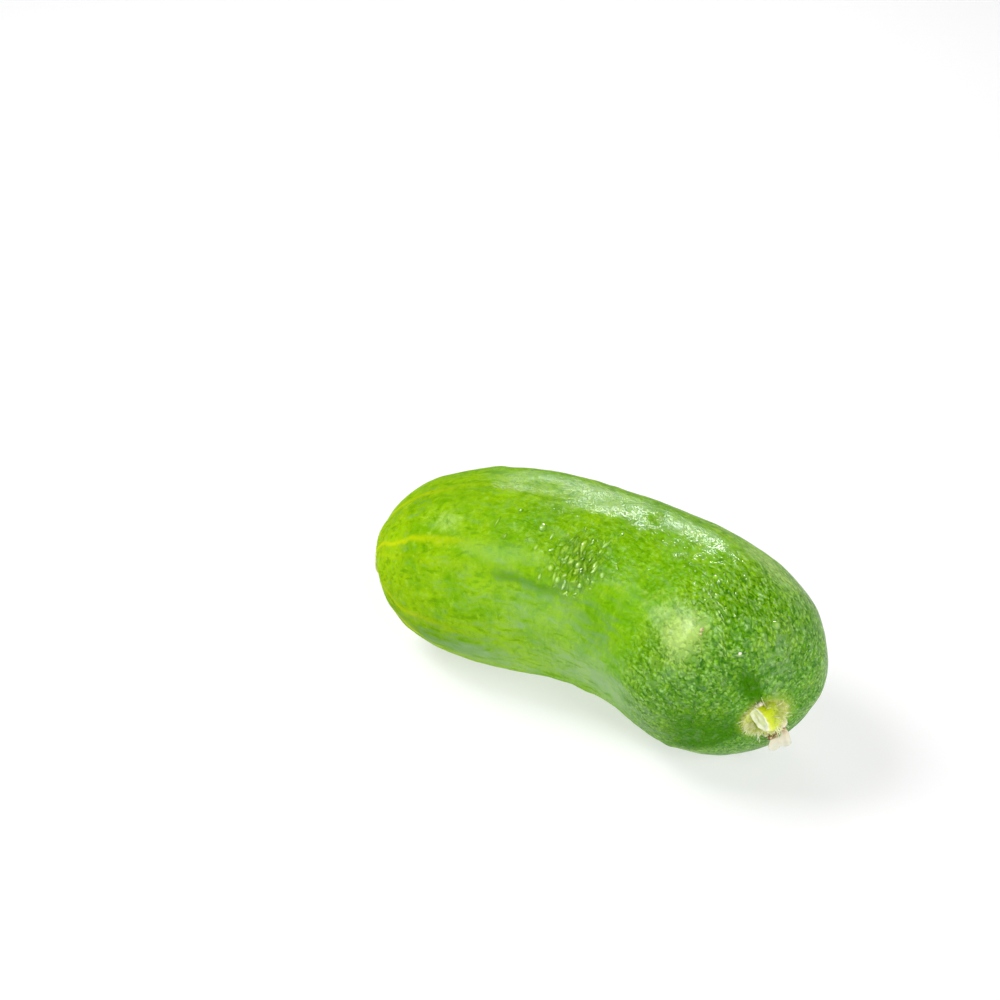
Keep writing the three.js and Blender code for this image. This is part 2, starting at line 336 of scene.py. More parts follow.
def finished(bm, name, material, replaced=()):
    """Scales a mesh from millimetres to metres and makes it a piece of the object."""
    bmesh.ops.scale(bm, vec=(MM, MM, MM), verts=bm.verts)
    mesh = bpy.data.meshes.new(name)
    bm.to_mesh(mesh)
    bm.free()
    mesh.shade_smooth()
    mesh.materials.append(material)
    piece = bpy.data.objects.new(name, mesh)
    bpy.context.scene.collection.objects.link(piece)
    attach(piece, "root")
    if replaced:
        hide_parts(*replaced)
    return piece


# ---- Materials ----

def linear(hex_colour):
    """An sRGB hex colour as linear RGBA."""
    channels = [int(hex_colour[i:i + 2], 16) / 255 for i in (1, 3, 5)]
    return tuple(c / 12.92 if c <= 0.04045 else ((c + 0.055) / 1.055) ** 2.4 for c in channels) + (1.0,)


def per_mm(size):
    """The scale of a pattern on coordinates in millimetres, from its real size.

    Object coordinates are in metres, so there it is divided by MM.
    """
    return 1.0 / size


def add(tree, kind, inputs=None, stops=None, **settings):
    """Adds a node with its settings; each input is a value or the output that feeds it.

    Each stop of a colour ramp is a place and either an sRGB hex colour or a grey.
    """
    node = tree.nodes.new(kind)
    for name, value in settings.items():
        setattr(node, name, value)
    for key, value in (inputs or {}).items():
        if isinstance(value, bpy.types.NodeSocket):
            tree.links.new(value, node.inputs[key])
        else:
            node.inputs[key].default_value = value
    if stops:
        elements = node.color_ramp.elements
        while len(elements) < len(stops):
            elements.new(1.0)
        for element, (place, colour) in zip(elements, stops):
            element.position = place
            element.color = linear(colour) if isinstance(colour, str) else (colour, colour, colour, 1.0)
    return node


# Sockets of the Mix node that carry colours.
MIX_A, MIX_B, MIX_OUT = 6, 7, 2


def new_material(name):
    material = bpy.data.materials.new(name)
    material.use_nodes = True
    tree = material.node_tree
    tree.nodes.clear()
    return material, tree


def stripe_stops():
    """Grey peaks on a black ramp that runs once round the fruit, from -180 to 180 degrees."""
    stops = []
    for angle, strength in STRIPES:
        for offset, share in ((-STRIPE_WIDTH, 0.0), (0, 1.0), (STRIPE_WIDTH, 0.0)):
            stops.append(((angle + offset + 180) / 360, strength * share))
    return stops


def wandering(tree, unbent):
    """Two courses that wander as growth does: one smooth, over 5 mm, and one with ragged outlines."""
    courses = [unbent]
    for reach, amount in ((5.0, (2.4, 1.8, 1.8)), (1.3, (0.8, 0.7, 0.7))):
        drift = add(tree, "ShaderNodeTexNoise", {"Vector": unbent, "Scale": per_mm(reach), "Detail": 2.0})
        centred = add(tree, "ShaderNodeVectorMath", {0: drift.outputs["Color"], 1: (0.5, 0.5, 0.5)},
                      operation="SUBTRACT").outputs[0]
        courses.append(add(tree, "ShaderNodeVectorMath", {0: centred, 1: amount, 2: courses[-1]},
                           operation="MULTIPLY_ADD").outputs[0])
    return courses[1:]


def skin_patterns(tree, smooth, rows):
    """The streaks, strokes, patches, mottle, crinkle and grain of the skin."""
    drawn_out = add(tree, "ShaderNodeVectorMath", {0: smooth, 1: (0.2, 1.0, 1.0)},
                    operation="MULTIPLY").outputs[0]
    patterns = []
    # What each is drawn on, its size in millimetres, and its detail, roughness and distortion.
    for vector, size, detail, roughness, distortion in (
            (drawn_out, 2.6, 4.0, 0.60, 0.0), (drawn_out, 1.3, 3.0, 0.50, 0.4), (smooth, 7.0, 3.0, 0.55, 0.0),
            (smooth, 1.5, 5.0, 0.72, 0.0), (rows, 0.66, 3.0, 0.60, 0.6), (smooth, 0.5, 2.0, 0.50, 0.0)):
        patterns.append(add(tree, "ShaderNodeTexNoise", {
            "Vector": vector, "Scale": per_mm(size), "Detail": detail, "Roughness": roughness,
            "Distortion": distortion}).outputs["Fac"])
    return patterns


def skin_pimples(tree, rows, rugged):
    """Close-set pimples of uneven size in lengthwise rows, and the way to the nearest one."""
    cells = add(tree, "ShaderNodeTexVoronoi", {"Vector": rows, "Scale": per_mm(0.66)}, feature="F1")
    uneven_size = add(tree, "ShaderNodeSeparateXYZ", {0: cells.outputs["Color"]}).outputs["X"]
    growth = add(tree, "ShaderNodeMath", {0: uneven_size, 1: 0.22, 2: cells.outputs["Distance"]},
                 operation="MULTIPLY_ADD").outputs[0]
    pimples = add(tree, "ShaderNodeMapRange", {"Value": growth, "From Min": 0.52, "From Max": 0.16},
                  interpolation_type="SMOOTHSTEP").outputs["Result"]
    pimples = add(tree, "ShaderNodeMath", {0: pimples, 1: rugged}, operation="MULTIPLY").outputs[0]
    return pimples, cells.outputs["Distance"]


def crumpled_welts(tree, ragged, crumpled):
    """Welts on the crumpled patch, drawn out round the fruit, and the way to the nearest crease."""
    upright = add(tree, "ShaderNodeVectorMath", {0: ragged, 1: (1.0, 0.5, 0.5)},
                  operation="MULTIPLY").outputs[0]
    to_crease = add(tree, "ShaderNodeTexVoronoi", {"Vector": upright, "Scale": per_mm(1.25)},
                    feature="DISTANCE_TO_EDGE").outputs["Distance"]
    welts = add(tree, "ShaderNodeMapRange", {"Value": to_crease, "From Max": 0.34},
                interpolation_type="SMOOTHSTEP").outputs["Result"]
    welts = add(tree, "ShaderNodeMath", {0: welts, 1: crumpled}, operation="MULTIPLY").outputs[0]
    return welts, to_crease


def blossom_stripes(tree, around, patches, strokes):
    """Pale, swaying, feathered stripes that run back from the blossom scar."""
    circle = add(tree, "ShaderNodeSeparateXYZ", {0: around}).outputs
    angle = add(tree, "ShaderNodeMath", {0: circle["Y"], 1: circle["X"]}, operation="ARCTAN2").outputs[0]
    sway = add(tree, "ShaderNodeMath", {0: patches, 1: 0.20, 2: -0.10}, operation="MULTIPLY_ADD").outputs[0]
    swayed = add(tree, "ShaderNodeMath", {0: angle, 1: sway}, operation="ADD").outputs[0]
    turn = add(tree, "ShaderNodeMath", {0: swayed, 1: 1 / (2 * math.pi), 2: 0.5},
               operation="MULTIPLY_ADD").outputs[0]
    stripes = add(tree, "ShaderNodeValToRGB", {"Fac": turn}, stops=stripe_stops()).outputs["Color"]
    return add(tree, "ShaderNodeMath", {0: stripes, 1: strokes}, operation="MULTIPLY").outputs[0]


def tinted(tree, body, tints):
    """A body colour with tints laid over it in order.

    Each tint is a pattern, where it starts and ends, its strength, what holds it to its place, and
    its colour.
    """
    for pattern, start, end, strength, place, colour in tints:
        mask = add(tree, "ShaderNodeMapRange", {"Value": pattern, "From Min": start, "From Max": end,
                                                "To Max": strength},
                   interpolation_type="SMOOTHSTEP").outputs["Result"]
        amount = add(tree, "ShaderNodeMath", {0: mask, 1: place}, operation="MULTIPLY").outputs[0]
        body = add(tree, "ShaderNodeMix", {0: amount, MIX_A: body, MIX_B: linear(colour)},
                   data_type="RGBA").outputs[MIX_OUT]
    return body


def relief(tree, layers):
    """Bumps one on another, each from its pattern and its rise in millimetres."""
    inputs = {}
    for height, rise in layers:
        bump = add(tree, "ShaderNodeBump", {**inputs, "Height": height, "Distance": rise * MM})
        inputs = {"Normal": bump.outputs["Normal"]}
    return inputs["Normal"]


def wax_bloom(tree, share, crumpled, deep):
    """Wax: almost none by the blossom and most by the stem.

    There is more on the crumpled patch than round it, and less where the deep tones lie, which are partly
    painted shade.
    """
    wax = add(tree, "ShaderNodeValToRGB", {"Fac": share}, stops=(
        (0.04, 0.01),
        (0.25, 0.04),
        (0.42, 0.10),
        (0.70, 0.16),
        (0.86, 0.40),
        (0.97, 0.40))).outputs["Color"]
    wax = add(tree, "ShaderNodeMath", {0: crumpled, 1: 0.20, 2: wax}, operation="MULTIPLY_ADD").outputs[0]
    bared = add(tree, "ShaderNodeMath", {0: 1.0, 1: deep}, operation="SUBTRACT", use_clamp=True).outputs[0]
    return add(tree, "ShaderNodeMath", {0: wax, 1: bared}, operation="MULTIPLY").outputs[0]


def cucumber_skin(name, beaded=False):
    """Thin waxy cucumber skin: yellow-green at the blossom, deep green and pimpled at the stem.

    The beads have the same skin, but wet, with painted shade round their feet and a painted highlight on
    their crowns.
    """
    material, tree = new_material(name)
    unbent, around, tones = [
        add(tree, "ShaderNodeAttribute", attribute_name=layer).outputs["Vector"] for layer in SKIN_VECTORS]
    from_blossom, from_stem, crumpled, rugged = [
        add(tree, "ShaderNodeAttribute", attribute_name=layer).outputs["Fac"] for layer in SKIN_NUMBERS]
    smooth, ragged = wandering(tree, unbent)
    rows = add(tree, "ShaderNodeVectorMath", {0: ragged, 1: (0.55, 1.0, 1.0)},
               operation="MULTIPLY").outputs[0]
    streaks, strokes, patches, mottle, crinkle, grain = skin_patterns(tree, smooth, rows)
    pimples, to_pimple = skin_pimples(tree, rows, rugged)
    welts, to_crease = crumpled_welts(tree, ragged, crumpled)
    stripes = blossom_stripes(tree, around, patches, strokes)

    # The green deepens over 100 mm from the blossom end, in streaks of up to 13 mm either way.
    uneven = add(tree, "ShaderNodeMath", {0: streaks, 1: 26.0, 2: -13.0}, operation="MULTIPLY_ADD").outputs[0]
    ripeness = add(tree, "ShaderNodeMath", {0: from_blossom, 1: uneven}, operation="ADD").outputs[0]
    share = add(tree, "ShaderNodeMath", {0: ripeness, 1: 100.0}, operation="DIVIDE").outputs[0]
    body = add(tree, "ShaderNodeValToRGB", {"Fac": share}, stops=(
        (0.00, "#b6d206"),
        (0.09, "#9ec608"),
        (0.22, "#8cbc0a"),
        (0.50, "#84ba08"),
        (0.72, "#80bd07"),
        (0.83, "#8cc80a"),
        (0.91, "#76b81a"),
        (1.00, "#52951e"))).outputs["Color"]

    # The listed tones, each broken up by a pattern.
    placed_tones = add(tree, "ShaderNodeSeparateXYZ", {0: tones}).outputs
    pale, deep, bloom_and_reflection = [
        add(tree, "ShaderNodeMath", {0: pattern, 1: 1.1, 2: placed_tones[part]},
            operation="MULTIPLY_ADD").outputs[0]
        for pattern, part in ((mottle, "X"), (strokes, "Y"), (strokes, "Z"))]

    tints = [
        (patches, 0.50, 0.66, 0.45, 1.0, "#a0d005"),
        (patches, 0.50, 0.34, 0.45, 1.0, "#64a604"),
        (strokes, 0.44, 0.33, 0.50, 1.0, "#508f08"),
        (mottle, 0.52, 0.66, 0.38, 1.0, "#a6d414"),
        (mottle, 0.49, 0.34, 0.42, 1.0, "#4f9002"),
        # Paler skin, and a painted highlight where the front light glows.
        (pale, 0.55, 1.40, 0.85, 1.0, "#c6e47a"),
        # Painted shade in the crinkle's creases and painted highlight flecks on its crests, where the skin is
        # rugged.
        (crinkle, 0.47, 0.38, 0.85, rugged, "#2f7408"),
        (crinkle, 0.53, 0.63, 0.75, rugged, "#a6d878"),
        # Painted shade in the gaps between pimples and a painted highlight on their tops.
        (to_pimple, 0.36, 0.58, 0.50, rugged, "#2c6c04"),
        (pimples, 0.0, 1.0, 0.50, 1.0, "#aed884"),
        # Deep green: darker skin, and painted shade low down and over the blossom half's top.
        (deep, 0.55, 1.40, 0.85, 1.0, "#3d7c02"),
        # Wax bloom, and a painted reflection of the pale floor on the lower side.
        (bloom_and_reflection, 0.55, 1.40, 0.75, 1.0, "#a8c896"),
        (ripeness, 38.0, 9.0, 1.9, stripes, "#ccd80c"),
        (from_stem, 6.4, 4.2, 0.9, mottle, "#b8dc40"),
        (from_stem, 4.7, 3.8, 0.9, 1.0, "#d6de7a"),
        # On the crumpled patch, painted shade in the creases and a painted highlight on the welts.
        (to_crease, 0.12, 0.02, 0.62, crumpled, "#3a760a"),
        (welts, 0.4, 1.0, 0.60, 1.0, "#b4da58"),
    ]
    creased = add(tree, "ShaderNodeMath", {0: crinkle, 1: rugged}, operation="MULTIPLY").outputs[0]
    dullness = add(tree, "ShaderNodeMapRange", {"Value": mottle, "To Min": 0.34,
                                                "To Max": 0.52}).outputs["Result"]
    if beaded:
        crown = add(tree, "ShaderNodeAttribute", attribute_name="crown").outputs["Fac"]
        # Painted shade round each bead's foot and a painted highlight on its crown.
        tints += [(crown, 0.60, 0.10, 0.36, 1.0, "#3d7a06"), (crown, 0.70, 1.0, 0.50, 1.0, "#bfe270")]
        coat = {"Coat Weight": 1.0, "Coat Roughness": 0.05, "Coat IOR": 1.75}
    else:
        # The wax fills the finest of the relief.
        coat = {"Coat Weight": wax_bloom(tree, share, crumpled, placed_tones["Y"]),
                "Coat Roughness": 0.08, "Coat IOR": 1.45,
                "Coat Normal": relief(tree, (
                    (pimples, 0.08), (creased, 0.08), (welts, 0.40), (mottle, 0.08)))}
    shader = add(tree, "ShaderNodeBsdfPrincipled", {
        "Base Color": tinted(tree, body, tints),
        "Roughness": dullness,
        "Specular IOR Level": 0.0,
        "Normal": relief(tree, (
            (mottle, 0.5), (pimples, 0.20), (creased, 0.5), (welts, 0.60), (grain, 0.06))),
        "Subsurface Weight": 0.12,
        "Subsurface Radius": (0.7, 1.0, 0.2),
        "Subsurface Scale": 1.0 * MM,
        **coat,
    })
    add(tree, "ShaderNodeOutputMaterial", {"Surface": shader.outputs["BSDF"]})
    return material


def scar_cork():
    """Dry corky scar tissue: cream, matt and slightly cracked, with a brown point in its middle."""
    material, tree = new_material("corky scar")
    place = add(tree, "ShaderNodeAttribute", attribute_name="scar_mm").outputs["Vector"]
    from_middle = add(tree, "ShaderNodeVectorMath", {0: place}, operation="LENGTH").outputs["Value"]
    flecks = add(tree, "ShaderNodeTexNoise", {"Vector": place, "Scale": per_mm(0.7), "Detail": 4.0,
                                              "Roughness": 0.7}).outputs["Fac"]
    wavy = add(tree, "ShaderNodeMath", {0: flecks, 1: 1.1, 2: from_middle},
               operation="MULTIPLY_ADD").outputs[0]
    share = add(tree, "ShaderNodeMath", {0: wavy, 1: 4.0}, operation="DIVIDE").outputs[0]
    rings = add(tree, "ShaderNodeValToRGB", {"Fac": share}, stops=(
        (0.13, "#7d6b3c"),
        (0.21, "#e2d9a6"),
        (0.45, "#f3eecb"),
        (0.52, "#e0d7a2"),
        (0.60, "#f6f2d6"),
        (0.76, "#f0ebc4"),
        (0.84, "#c9cf6a"))).outputs["Color"]
    bump = add(tree, "ShaderNodeBump", {"Height": flecks, "Distance": 0.15 * MM}).outputs["Normal"]
    shader = add(tree, "ShaderNodeBsdfPrincipled", {
        "Base Color": rings, "Roughness": 0.8, "Normal": bump,
        "Subsurface Weight": 0.2, "Subsurface Radius": (1.0, 0.9, 0.5), "Subsurface Scale": 0.5 * MM})
    add(tree, "ShaderNodeOutputMaterial", {"Surface": shader.outputs["BSDF"]})
    return material


def stalk_flesh():
    """Juicy cut stalk: a saturated yellow-green flank round a pale, wet, glassy cut face."""
    material, tree = new_material("cut stalk flesh")
    # Level is 0 at the root, 1 at the edge of the cut and 2 in the middle of the cut face.
    level = add(tree, "ShaderNodeAttribute", attribute_name="level").outputs["Fac"]
    place = add(tree, "ShaderNodeTexCoord").outputs["Object"]
    fibres = add(tree, "ShaderNodeTexNoise", {"Vector": place, "Scale": per_mm(0.6) / MM, "Detail": 4.0,
                                              "Roughness": 0.6}).outputs["Fac"]
    wavy = add(tree, "ShaderNodeMath", {0: fibres, 1: 0.35, 2: -0.17}, operation="MULTIPLY_ADD").outputs[0]
    uneven = add(tree, "ShaderNodeMath", {0: level, 1: wavy}, operation="ADD").outputs[0]
    share = add(tree, "ShaderNodeMath", {0: uneven, 1: 2.0}, operation="DIVIDE").outputs[0]
    flesh = add(tree, "ShaderNodeValToRGB", {"Fac": share}, stops=(
        (0.00, "#b4cc18"),
        (0.20, "#c2d60e"),
        (0.36, "#d2e404"),
        (0.46, "#e2ee30"),
        (0.52, "#fbfce6"),
        (0.60, "#f2f8d0"),
        (0.80, "#e4efa4"),
        (1.00, "#f8fadc"))).outputs["Color"]
    bump = add(tree, "ShaderNodeBump", {"Height": fibres, "Distance": 0.35 * MM}).outputs["Normal"]
    shader = add(tree, "ShaderNodeBsdfPrincipled", {
        "Base Color": flesh, "Roughness": 0.35, "Normal": bump, "IOR": 1.4,
        "Subsurface Weight": 0.45, "Subsurface Radius": (1.0, 1.0, 0.4), "Subsurface Scale": 0.8 * MM,
        "Coat Weight": 0.7, "Coat Roughness": 0.1})
    add(tree, "ShaderNodeOutputMaterial", {"Surface": shader.outputs["BSDF"]})
    return material


def plant_hair():
    """Bristly stalk hair, a little translucent: yellow-green while fresh and cream where dry."""
    material, tree = new_material("stalk hair")
    place = add(tree, "ShaderNodeTexCoord").outputs["Object"]
    variety = add(tree, "ShaderNodeTexNoise", {"Vector": place, "Scale": per_mm(0.9) / MM,
                                               "Detail": 2.0}).outputs["Fac"]
    dry = add(tree, "ShaderNodeAttribute", attribute_name="dry").outputs["Fac"]
    share = add(tree, "ShaderNodeMath", {0: dry, 1: 0.4, 2: variety}, operation="MULTIPLY_ADD").outputs[0]
    colour = add(tree, "ShaderNodeValToRGB", {"Fac": share}, stops=(
        (0.40, "#a8c62a"),
        (0.55, "#ccd95c"),
        (0.72, "#e8eca0"),
        (0.88, "#fbfad8"))).outputs["Color"]
    shader = add(tree, "ShaderNodeBsdfPrincipled", {
        "Base Color": colour, "Roughness": 0.5,
        "Subsurface Weight": 0.4, "Subsurface Radius": (1.0, 1.0, 0.7), "Subsurface Scale": 0.2 * MM})
    add(tree, "ShaderNodeOutputMaterial", {"Surface": shader.outputs["BSDF"]})
    return material


def dry_membrane():
    """Dead stalk skin dried to a papery film: pale grey, veined, browner at its torn root."""
    material, tree = new_material("papery stalk skin")
    place = add(tree, "ShaderNodeAttribute", attribute_name="flake_mm").outputs["Vector"]
    long_veins = add(tree, "ShaderNodeVectorMath", {0: place, 1: (1.0, 0.25, 1.0)},
                     operation="MULTIPLY").outputs[0]
    veins = add(tree, "ShaderNodeTexNoise", {"Vector": long_veins, "Scale": per_mm(0.8), "Detail": 4.0,
                                             "Roughness": 0.6}).outputs["Fac"]
    upward = add(tree, "ShaderNodeSeparateXYZ", {0: place}).outputs["Y"]
    ragged = add(tree, "ShaderNodeMath", {0: veins, 1: 2.4, 2: upward}, operation="MULTIPLY_ADD").outputs[0]
    share = add(tree, "ShaderNodeMapRange", {"Value": ragged, "From Min": -2.0,
                                             "From Max": 4.0}).outputs["Result"]
    colour = add(tree, "ShaderNodeValToRGB", {"Fac": share}, stops=(
        (0.00, "#d9d9c9"),
        (0.45, "#dcd9c6"),
        (0.72, "#dcd2b8"),
        (0.90, "#a58450"),
        (1.00, "#5a4420"))).outputs["Color"]
    bump = add(tree, "ShaderNodeBump", {"Height": veins, "Distance": 0.2 * MM}).outputs["Normal"]
    shader = add(tree, "ShaderNodeBsdfPrincipled", {
        "Base Color": colour, "Roughness": 0.55, "Normal": bump,
        "Subsurface Weight": 0.5, "Subsurface Radius": (1.0, 1.0, 0.9), "Subsurface Scale": 0.4 * MM})
    add(tree, "ShaderNodeOutputMaterial", {"Surface": shader.outputs["BSDF"]})
    return material


def withered_tissue():
    """Withered plant tissue: brown, dull, with cream flecks where it has split."""
    material, tree = new_material("withered stalk tissue")
    place = add(tree, "ShaderNodeTexCoord").outputs["Object"]
    flecks = add(tree, "ShaderNodeTexNoise", {"Vector": place, "Scale": per_mm(0.7) / MM, "Detail": 4.0,
                                              "Roughness": 0.7}).outputs["Fac"]
    withered = add(tree, "ShaderNodeAttribute", attribute_name="withered").outputs["Fac"]
    share = add(tree, "ShaderNodeMath", {0: withered, 1: -0.24, 2: flecks},
                operation="MULTIPLY_ADD").outputs[0]
    colour = add(tree, "ShaderNodeValToRGB", {"Fac": share}, stops=(
        (0.20, "#4e341a"),
        (0.30, "#9a7a46"),
        (0.38, "#dccb9a"),
        (0.50, "#f3ecd4"),
        (0.62, "#fbf3ea"))).outputs["Color"]
    bump = add(tree, "ShaderNodeBump", {"Height": flecks, "Distance": 0.15 * MM}).outputs["Normal"]
    shader = add(tree, "ShaderNodeBsdfPrincipled", {"Base Color": colour, "Roughness": 0.7, "Normal": bump})
    add(tree, "ShaderNodeOutputMaterial", {"Surface": shader.outputs["BSDF"]})
    return material


# ---- The skin ----

def turned_from(middle, angle):
    """The turn in radians from an angle in degrees, by the shorter way round."""
    return (angle - math.radians(middle) + math.pi) % (2 * math.pi) - math.pi


def nearness(along, angle, place, middle, reach, spread):
    """1 at a listed spot, fading to 0 over its reach along and its spread round the fruit."""
    ahead = (along - place) * LENGTH / reach
    aside = turned_from(middle, angle) * GIRTH[1] / spread
    return math.exp(-ahead * ahead - aside * aside)


def tones_at(along, angle):
    """How pale, deep and bloomed the skin is at a place, from the listed tones, which partly paint a
    highlight, shade and a reflection.
    """
    return Vector([sum(strength * nearness(along, angle, *spot) for *spot, strength in spots)
                   for spots in TONES.values()])


def crumpling(along, angle):
    """How crumpled the skin is at a place, from 0 to 1."""
    apart = (math.degrees(angle) - CRUMPLE["angle"]) / CRUMPLE["spread"]
    away = (along - CRUMPLE["along"]) / CRUMPLE["reach"]
    return math.exp(-(apart * apart + away * away) ** CRUMPLE["steepness"])


def unbent_place(along, angle):
    """Where a place on the skin would lie in millimetres if the fruit were straight."""
    reach = ring_reach(along, angle)
    return Vector((along * LENGTH, math.cos(angle) * reach, math.sin(angle) * reach))


def pimpliness(along, angle, paleness):
    """How pimply the skin is at a place: most at the stem end, less on the upper side."""
    upper = smooth_step(0.55, 0.8, math.sin(angle)) * smooth_step(0.15, 0.45, along)
    pimply = max(PIMPLINESS["upper"] * upper, smooth_step(0.68, 0.86, along))
    pimply = PIMPLINESS["least"] + (1 - PIMPLINESS["least"]) * pimply
    patch = PIMPLINESS["patch"] * nearness(along, angle, *PIMPLED)
    return pimply * (1 - PIMPLINESS["smoothed"] * paleness) + patch


def mark_skin(bm, vert, along, angle):
    """Writes where a vertex lies on the fruit, for the patterns of the skin."""
    layers = bm.verts.layers
    unbent = unbent_place(along, angle)
    vert[layers.float_vector["unbent_mm"]] = unbent
    turned = angle - STRIPE_CURL["turn"] * math.exp(-along / STRIPE_CURL["reach"])
    vert[layers.float_vector["around"]] = Vector((math.cos(turned), math.sin(turned), 0))
    tones = tones_at(along, angle)
    vert[layers.float_vector["tones"]] = tones
    vert[layers.float["from_blossom_mm"]] = unbent.length
    vert[layers.float["from_stem_mm"]] = (unbent - Vector((LENGTH, 0, 0))).length
    vert[layers.float["crumpled"]] = crumpling(along, angle)
    vert[layers.float["rugged"]] = pimpliness(along, angle, paleness=min(1.0, tones.x))


def add_skin_layers(bm):
    for name in SKIN_VECTORS:
        bm.verts.layers.float_vector.new(name)
    for name in SKIN_NUMBERS:
        bm.verts.layers.float.new(name)


def ring_folds(folds, distance, angle):
    """Radial folds that swell and fade between two distances from a tip."""
    middle = 0.5 * (folds["first"] + folds["last"])
    swell = smooth_step(folds["first"], middle, distance) * (1 - smooth_step(middle, folds["last"], distance))
    return folds["height"] * swell * math.cos(folds["count"] * angle + FOLD_SWAY * math.sin(2 * angle))


def growth_at(unbent, lengthwise, across, offset=0.0):
    """Noise with one wavelength along the fruit and another round it."""
    return noise.noise(Vector((unbent.x / lengthwise + offset, unbent.y / across, unbent.z / across)))


def surface_height(along, angle):
    """How far the skin stands out from its smooth form, in millimetres."""
    unbent = unbent_place(along, angle)
    height = 0.0
    for layer, (lengthwise, across, rise) in enumerate(SKIN_WAVES):
        height += rise * growth_at(unbent, lengthwise, across, WAVES_APART * (layer + 1))
    for *spot, rise in SWELLS:
        height += rise * nearness(along, angle, *spot)
    folded = abs(growth_at(unbent, CRUMPLE["lengthwise"], CRUMPLE["across"]))
    height += CRUMPLE["height"] * crumpling(along, angle) * (CRUMPLE["crest"] - CRUMPLE["cleft"] * folded)
    distance = math.hypot(unbent.y, unbent.z)
    if along > 0.9:
        height += ring_folds(STEM_FOLDS, distance, angle)
    if along < 0.1:
        height += ring_folds(BLOSSOM_PUCKERS, distance, angle)
    return height


def wart_places():
    """Warts wind round the fruit in a spiral of even spacing, each nudged by a seeded draw.

    The draws are the solid's own, so that both have their warts in the same places.
    """
    state = WARTS["seed"]
    golden_angle = math.pi * (3 - math.sqrt(5))
    draws = []
    for _ in range(3 * WARTS["count"]):
        state = state * 16807 % 2147483647
        draws.append(state / 2147483647)
    places = []
    for i in range(WARTS["count"]):
        nudge, swing, growth = draws[3 * i:3 * i + 3]
        along = WARTS["first"] + (WARTS["last"] - WARTS["first"]) * (i + nudge) / WARTS["count"]
        angle = i * golden_angle + 0.5 * (swing - 0.5)
        if math.sin(angle) >= WARTLESS_BELOW:
            places.append((along, angle, 0.75 + 0.5 * growth))
    return places


def on_dressed_skin(along, angle):
    """A frame on the skin, raised to its uneven surface."""
    return skin_frame(along, angle) @ Matrix.Translation((0, 0, surface_height(along, angle)))


def make_skin():
    """The whole skin: one closed shell, finest at the two ends."""
    profile = []
    for i in range(SKIN_RINGS + 1):
        along = (1 - math.cos(math.pi * i / SKIN_RINGS)) / 2
        profile.append((along, fullness(along), 0))
    bm = spun(profile, SKIN_SIDES, axis=(1, 0, 0))
    add_skin_layers(bm)
    heights = []
    for vert in bm.verts:
        along = round(vert.co.x, 8)
        angle = math.atan2(vert.co.z, vert.co.y)
        mark_skin(bm, vert, along, angle)
        heights.append(surface_height(along, angle))
        vert.co = skin_point(along, angle)
    bmesh.ops.recalc_face_normals(bm, faces=bm.faces)
    if bm.calc_volume(signed=True) < 0:
        bmesh.ops.reverse_faces(bm, faces=bm.faces)
    bm.normal_update()
    finder = kdtree.KDTree(len(bm.verts))
    for i, vert in enumerate(bm.verts):
        finder.insert(vert.co, i)
    finder.balance()
    for along, angle, size in wart_places():
        radius = WARTS["radius"] * size
        for _, i, distance in finder.find_range(skin_point(along, angle), radius):
            heights[i] += WARTS["height"] * (1 - (distance / radius) ** 2) ** 2
    for vert, height in zip(bm.verts, heights):
        vert.co += vert.normal * height
        vert.co.z = max(0.0, vert.co.z)
    return finished(bm, "cucumber_skin", cucumber_skin("waxy cucumber skin"),
                    replaced=("fruit",))


# ---- Beads on the skin ----

def bead_places():
    """Each bead's place along, angle, radius, stretch, and turn from lengthwise."""
    places = [(along, math.radians(angle), radius, stretch, math.radians(turn))
              for along, angle, radius, stretch, turn in LONE_BEADS]
    draw = random.Random(CLUSTER["seed"])
    for _ in range(CLUSTER["count"]):
        along = CLUSTER["along"] + CLUSTER["reach"] * draw.gauss(0, 1)
        angle = math.radians(CLUSTER["angle"] + CLUSTER["spread"] * draw.gauss(0, 1))
        turn = math.radians(draw.gauss(*CLUSTER["turn"]))
        radius = draw.uniform(*CLUSTER["radius"])
        places.append((along, angle, radius, draw.uniform(*CLUSTER["stretch"]), turn))
    draw = random.Random(ROW["seed"])
    (first_along, first_angle), (last_along, last_angle) = ROW["first"], ROW["last"]
    for i in range(ROW["count"]):
        share = i / (ROW["count"] - 1)
        along = first_along + (last_along - first_along) * share
        along += draw.uniform(-ROW["jitter"], ROW["jitter"])
        angle = first_angle + (last_angle - first_angle) * share + ROW["bow"] * math.sin(math.pi * share)
        angle = math.radians(angle + draw.choice(ROW["strands"]))
        places.append((along, angle, draw.uniform(*ROW["radius"]), draw.uniform(*ROW["stretch"]),
                       draw.uniform(-ROW["turn"], ROW["turn"])))
    for strewn in STREWN:
        draw = random.Random(strewn["seed"])
        for _ in range(strewn["count"]):
            places.append((draw.uniform(*strewn["along"]), draw.uniform(*strewn["angle"]),
                           draw.uniform(*strewn["radius"]), draw.uniform(*strewn["stretch"]),
                           draw.uniform(0, math.pi)))
    return places


def make_beads():
    """Small glossy lens-shaped beads that stand on the skin."""
    bm = bmesh.new()
    add_skin_layers(bm)
    crowns = bm.verts.layers.float.new("crown")
    for along, angle, radius, stretch, turn in bead_places():
        made = bmesh.ops.create_icosphere(bm, subdivisions=2, radius=1)["verts"]
        for vert in made:
            mark_skin(bm, vert, along, angle)
            vert[crowns] = max(0.0, vert.co.z)
        size = Matrix.Diagonal((radius, radius * stretch, radius * BEAD_FLATNESS, 1))
        placement = on_dressed_skin(along, angle) @ Matrix.Rotation(turn, 4, "Z") @ size
        bmesh.ops.transform(bm, matrix=placement, verts=made)
    return finished(bm, "skin_beads", cucumber_skin("wet cucumber skin", beaded=True))


